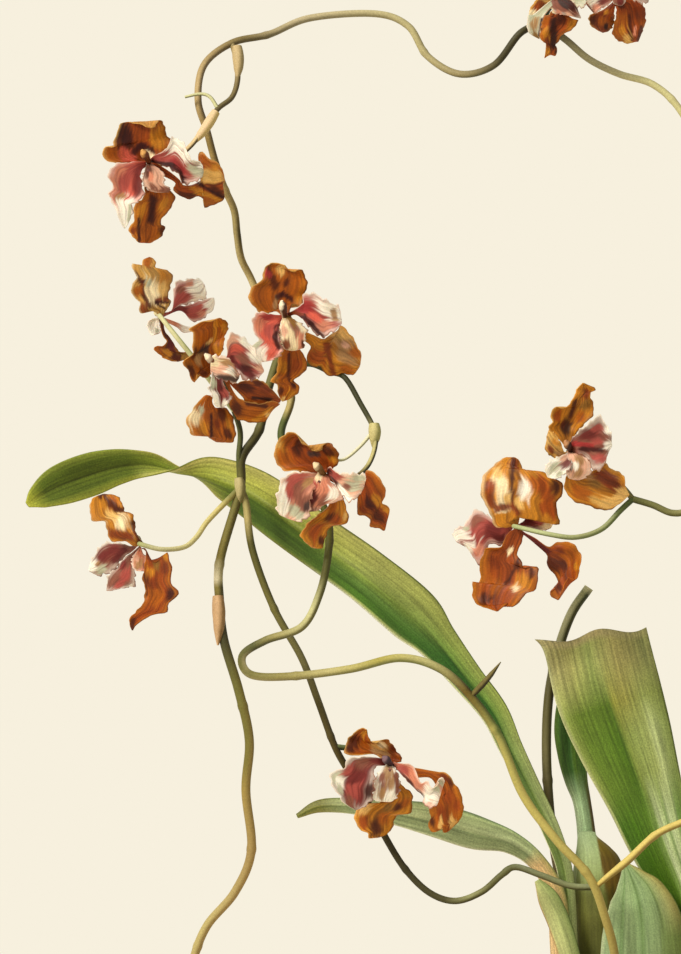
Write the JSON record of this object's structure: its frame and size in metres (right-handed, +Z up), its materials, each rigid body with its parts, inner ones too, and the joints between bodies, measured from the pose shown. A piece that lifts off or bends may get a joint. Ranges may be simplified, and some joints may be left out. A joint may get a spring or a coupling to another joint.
{
  "type": "potted oncidium orchid",
  "caption": "Potted orchid: a clay pot of bark holds two pseudobulbs, strap leaves and one long twining flower stem with ruffled brown and rose blooms.",
  "frame": {"origin": "centre of the pot's foot, on the surface that it stands on", "axes": "+Z up, -Y towards the viewer, +X to the viewer's right"},
  "size_m": [0.3735, 0.17, 0.6493],
  "materials": {
    "terracotta": "matt fired clay",
    "bark": "rough bark chips",
    "pseudobulb": "smooth and slightly glossy",
    "leaf": "smooth with fine lengthwise veins",
    "sheath": "thin and papery",
    "stem": "smooth",
    "sepal": "waved, with fine veins",
    "petal": "ruffled, with fine veins"
  },
  "bodies": {
    "root": {"pot": "terracotta", "compost": "bark", "pseudobulbs": "pseudobulb", "leaf_long": "leaf", "leaf_broad": "leaf", "leaf_narrow": "leaf", "leaf_short": "leaf", "sheath_left": "sheath", "sheath_right": "sheath", "sheath_old": "sheath", "scape_stub": "stem", "scape": "stem", "bloom_01_sepals": "sepal", "bloom_01_petals": "petal", "bloom_02_sepals": "sepal", "bloom_02_petals": "petal", "bloom_03_sepals": "sepal", "bloom_03_petals": "petal", "bloom_04_sepals": "sepal", "bloom_04_petals": "petal", "bloom_05_sepals": "sepal", "bloom_05_petals": "petal", "bloom_06_sepals": "sepal", "bloom_06_petals": "petal", "bloom_07_sepals": "sepal", "bloom_07_petals": "petal", "bloom_08_sepals": "sepal", "bloom_08_petals": "petal", "bloom_09_sepals": "sepal", "bloom_09_petals": "petal", "bloom_10_sepals": "sepal", "bloom_10_petals": "petal", "bloom_11_sepals": "sepal", "bloom_11_petals": "petal"}
  },
  "joints": []
}
